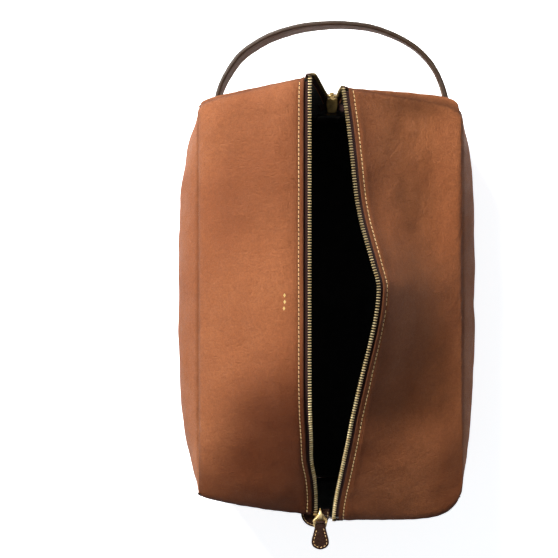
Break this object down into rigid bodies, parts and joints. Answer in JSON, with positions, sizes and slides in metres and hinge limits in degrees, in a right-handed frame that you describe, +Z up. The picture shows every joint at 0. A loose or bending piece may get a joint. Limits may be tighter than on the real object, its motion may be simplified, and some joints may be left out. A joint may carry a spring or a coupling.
{
  "type": "golf shoe bag",
  "caption": "Soft box-shaped leather bag for golf shoes, opened along a full-length two-way top zip, with a strap handle at one end.",
  "frame": {"origin": "middle of the flat bottom, on the surface the bag stands on", "axes": "+Y along the length toward the handle end, +X to the right when the handle is away from the viewer, +Z up out of the zip side"},
  "size_m": [0.2804, 0.4965, 0.1903],
  "materials": {
    "tan_leather": "smooth pull-up leather with a soft sheen",
    "black_lining": "plain woven lining",
    "stiffener_board": "raw fibreboard",
    "zip_tape": "herringbone twill tape",
    "brass": "polished",
    "dark_leather": "dark brown bridle leather with painted edges",
    "strap_leather": "taupe bridle leather",
    "strap_webbing": "woven reinforcement"
  },
  "bodies": {
    "body": {"bottom_board": "stiffener_board", "bottom_lining": "black_lining", "bottom_panel": "tan_leather", "corner_piping_front": "tan_leather", "corner_piping_rear": "tan_leather", "end_lining_front": "black_lining", "end_lining_rear": "black_lining", "end_panel_front": "tan_leather", "end_panel_rear": "tan_leather", "handle_end_tabs": "strap_leather", "side_lining_left": "black_lining", "side_lining_right": "black_lining", "side_panel_left": "tan_leather", "side_panel_right": "tan_leather", "top_piping_left": "tan_leather", "top_piping_right": "tan_leather", "zip_end_patch_front": "dark_leather", "zip_stop_rear": "brass", "zip_tail_front": "zip_tape", "zip_tail_rear": "zip_tape"},
    "left_flap": {"top_panel_left": "tan_leather", "top_lining_left": "black_lining", "zip_tape_left": "zip_tape", "zip_teeth_left": "brass", "zip_runin_front_left": "zip_tape", "zip_runin_rear_left": "zip_tape"},
    "right_flap": {"top_panel_right": "tan_leather", "top_lining_right": "black_lining", "zip_tape_right": "zip_tape", "zip_teeth_right": "brass", "zip_runin_front_right": "zip_tape", "zip_runin_rear_right": "zip_tape"},
    "front_slider": {"slider_body_front": "brass"},
    "front_link": {"slider_link_front": "brass"},
    "front_tab": {"pull_tab_front": "dark_leather"},
    "rear_slider": {"slider_body_rear": "brass"},
    "rear_link": {"slider_link_rear": "brass"},
    "rear_tab": {"pull_tab_rear": "dark_leather"},
    "handle": {"handle_strap_inner": "strap_leather", "handle_strap_core": "strap_webbing", "handle_strap_outer": "strap_leather"}
  },
  "joints": [
    {"name": "front_slider_run", "type": "slide", "parent": "body", "child": "front_slider", "axis": [0.0321, 0.9995, 0], "range_m": [0, 0.3587]},
    {"name": "left_flap_close", "type": "hinge", "parent": "body", "child": "left_flap", "pos_m": [-0.1253, 0, 0.104], "axis": [0, 1, 0], "range_deg": [0, 32.6], "deforming": ["zip_runin_front_left", "zip_runin_rear_left"]},
    {"name": "right_flap_close", "type": "hinge", "parent": "body", "child": "right_flap", "pos_m": [0.1221, 0, 0.104], "axis": [0, -1, 0], "range_deg": [0, 45.74], "deforming": ["zip_runin_front_right", "zip_runin_rear_right"]},
    {"name": "front_link_swing", "type": "hinge", "parent": "front_slider", "child": "front_link", "pos_m": [-0.0115, -0.20175, 0.1144], "axis": [-1, 0, 0], "range_deg": [0, 100]},
    {"name": "front_tab_swing", "type": "hinge", "parent": "front_link", "child": "front_tab", "pos_m": [-0.0115, -0.20775, 0.1144], "axis": [-1, 0, 0], "range_deg": [0, 60]},
    {"name": "rear_slider_run", "type": "slide", "parent": "body", "child": "rear_slider", "axis": [0, 0.8387, 0.5446], "range_m": [0, 0.01]},
    {"name": "rear_link_swing", "type": "hinge", "parent": "rear_slider", "child": "rear_link", "pos_m": [-0.0002, 0.19293, 0.10139], "axis": [1, 0, 0], "range_deg": [0, 60]},
    {"name": "rear_tab_swing", "type": "hinge", "parent": "rear_link", "child": "rear_tab", "pos_m": [-0.0002, 0.19293, 0.09539], "axis": [1, 0, 0], "range_deg": [0, 60]},
    {"name": "handle_swing", "type": "hinge", "parent": "body", "child": "handle", "pos_m": [0, 0.2002, 0.085], "axis": [1, 0, 0], "range_deg": [-50, 45]}
  ],
  "couplings": [
    {"joint": "left_flap_close", "follows": "front_slider_run", "rad_per_m": 1.5716},
    {"joint": "right_flap_close", "follows": "front_slider_run", "rad_per_m": 2.2108}
  ]
}
